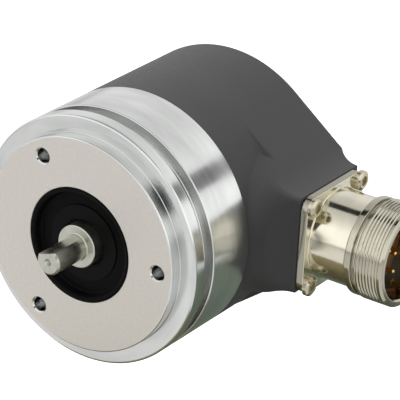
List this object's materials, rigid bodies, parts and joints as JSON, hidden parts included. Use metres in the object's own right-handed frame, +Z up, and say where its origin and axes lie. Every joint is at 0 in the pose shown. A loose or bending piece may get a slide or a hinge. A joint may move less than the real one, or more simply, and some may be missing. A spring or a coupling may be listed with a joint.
{
  "type": "rotary encoder",
  "caption": "Round rotary encoder with a servo flange, a short solid shaft with a flat, a dark housing and a round threaded connector on its side.",
  "frame": {"origin": "centre of the flange's front face, on the shaft's axis", "axes": "+Y along the shaft's axis from the flange's front face into the housing, so the shaft leaves towards -Y; +X towards the connector's mouth; +Z up"},
  "size_m": [0.0874, 0.0679, 0.058],
  "materials": {
    "flange_aluminium": "bead-blasted face, turned edges",
    "cap_rubber": "moulded, satin",
    "seal_rubber": "moulded, satin",
    "shaft_steel": "ground",
    "bearing_steel": "ground",
    "ball_steel": "polished",
    "cage_steel": "pressed sheet",
    "shield_steel": "pressed sheet",
    "turned_aluminium": "turned",
    "spring_steel": "tempered",
    "black_steel": "black oxide",
    "disc_glass": "polished, with a printed track",
    "reticle_glass": "polished",
    "sensor_plastic": "moulded",
    "board_green": "solder resist",
    "chip_plastic": "moulded",
    "header_plastic": "moulded",
    "brass": "turned",
    "housing_paint": "satin charcoal powder coat on a die casting",
    "screw_steel": "plated",
    "gasket_rubber": "cut sheet",
    "nickel": "warm, bright nickel plating",
    "insert_plastic": "moulded",
    "coding_plastic": "moulded",
    "contact_gold": "gold plated",
    "wire_plastic": "extruded insulation"
  },
  "bodies": {
    "stator": {"flange": "flange_aluminium", "seal_cap": "cap_rubber", "shaft_seal": "seal_rubber", "front_outer_race": "bearing_steel", "front_shields": "shield_steel", "rear_outer_race": "bearing_steel", "rear_shields": "shield_steel", "wave_spring": "spring_steel", "light_source": "sensor_plastic", "reticle": "reticle_glass", "detector": "sensor_plastic", "circuit_board": "board_green", "board_parts": "chip_plastic", "pin_header": "header_plastic", "front_standoffs": "brass", "rear_standoffs": "brass", "housing_o_ring": "seal_rubber", "housing": "housing_paint", "housing_screws": "screw_steel", "connector_gasket": "gasket_rubber", "connector_shell": "nickel", "connector_screws": "screw_steel", "connector_insert": "insert_plastic", "coding_ring": "coding_plastic", "contact_pins": "contact_gold", "wire_harness": "wire_plastic"},
    "rotor": {"shaft": "shaft_steel", "front_inner_race": "bearing_steel", "rear_inner_race": "bearing_steel", "bearing_spacer": "turned_aluminium", "shaft_circlip": "spring_steel", "disc_hub": "turned_aluminium", "hub_set_screw": "black_steel", "code_disc": "disc_glass", "disc_clamp": "turned_aluminium"},
    "front_ball_set": {"front_balls": "ball_steel", "front_cage": "cage_steel"},
    "rear_ball_set": {"rear_balls": "ball_steel", "rear_cage": "cage_steel"}
  },
  "joints": [
    {"name": "shaft_turn", "type": "hinge", "parent": "stator", "child": "rotor", "pos_m": [0, 0, 0], "axis": [0, 1, 0], "continuous": true},
    {"name": "front_balls_turn", "type": "hinge", "parent": "stator", "child": "front_ball_set", "pos_m": [0, 0.0086, 0], "axis": [0, 1, 0], "continuous": true},
    {"name": "rear_balls_turn", "type": "hinge", "parent": "stator", "child": "rear_ball_set", "pos_m": [0, 0.021, 0], "axis": [0, 1, 0], "continuous": true}
  ],
  "couplings": [
    {"joint": "front_balls_turn", "follows": "shaft_turn", "ratio": 0.3677},
    {"joint": "rear_balls_turn", "follows": "shaft_turn", "ratio": 0.4008}
  ]
}
